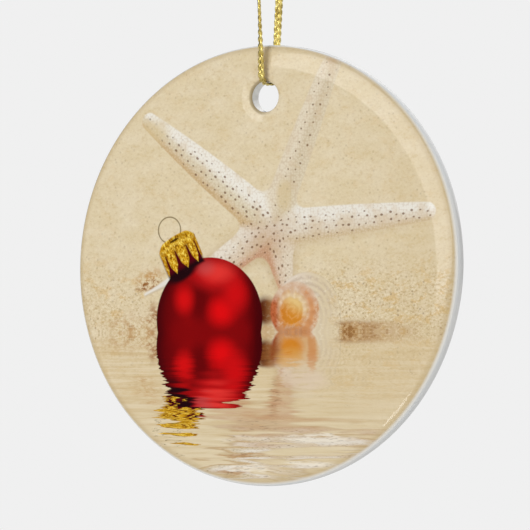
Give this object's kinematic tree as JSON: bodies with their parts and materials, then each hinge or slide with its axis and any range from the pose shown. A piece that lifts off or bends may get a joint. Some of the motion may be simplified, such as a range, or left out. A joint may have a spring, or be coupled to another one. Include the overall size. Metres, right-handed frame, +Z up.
{
  "type": "hanging disc ornament",
  "caption": "Round flat glazed ceramic hanging ornament, printed on its front and plain behind, threaded on a plaited gold cord that is knotted into a loop.",
  "frame": {"origin": "hanging point, the middle of the knot's underside, inside the cord loop", "axes": "+Z up, +X to the right of someone who looks at the printed face, +Y out of the plain back"},
  "size_m": [0.073, 0.008, 0.1239],
  "materials": {
    "glazed_ceramic": "glossy white glaze",
    "print_coat": null,
    "gold_cord": "plaited metallic gold yarn"
  },
  "bodies": {
    "hanger": {"cord_knot": "gold_cord", "cord_tail_left": "gold_cord", "cord_tail_right": "gold_cord", "cord_strand_front": "gold_cord", "cord_strand_back": "gold_cord"},
    "bight": {"cord_bight": "gold_cord"},
    "disc": {"ceramic_disc": "glazed_ceramic", "print_coat": "print_coat"}
  },
  "joints": [
    {"name": "cord_twist", "type": "hinge", "parent": "hanger", "child": "bight", "pos_m": [0, 0, -0.0205], "axis": [0, 0, 1], "range_deg": [-180, 180], "stiffness_Nm_per_rad": 0.0001},
    {"name": "disc_swing", "type": "hinge", "parent": "bight", "child": "disc", "pos_m": [0, 0, -0.0465], "axis": [0, 1, 0], "range_deg": [-90, 90]}
  ]
}
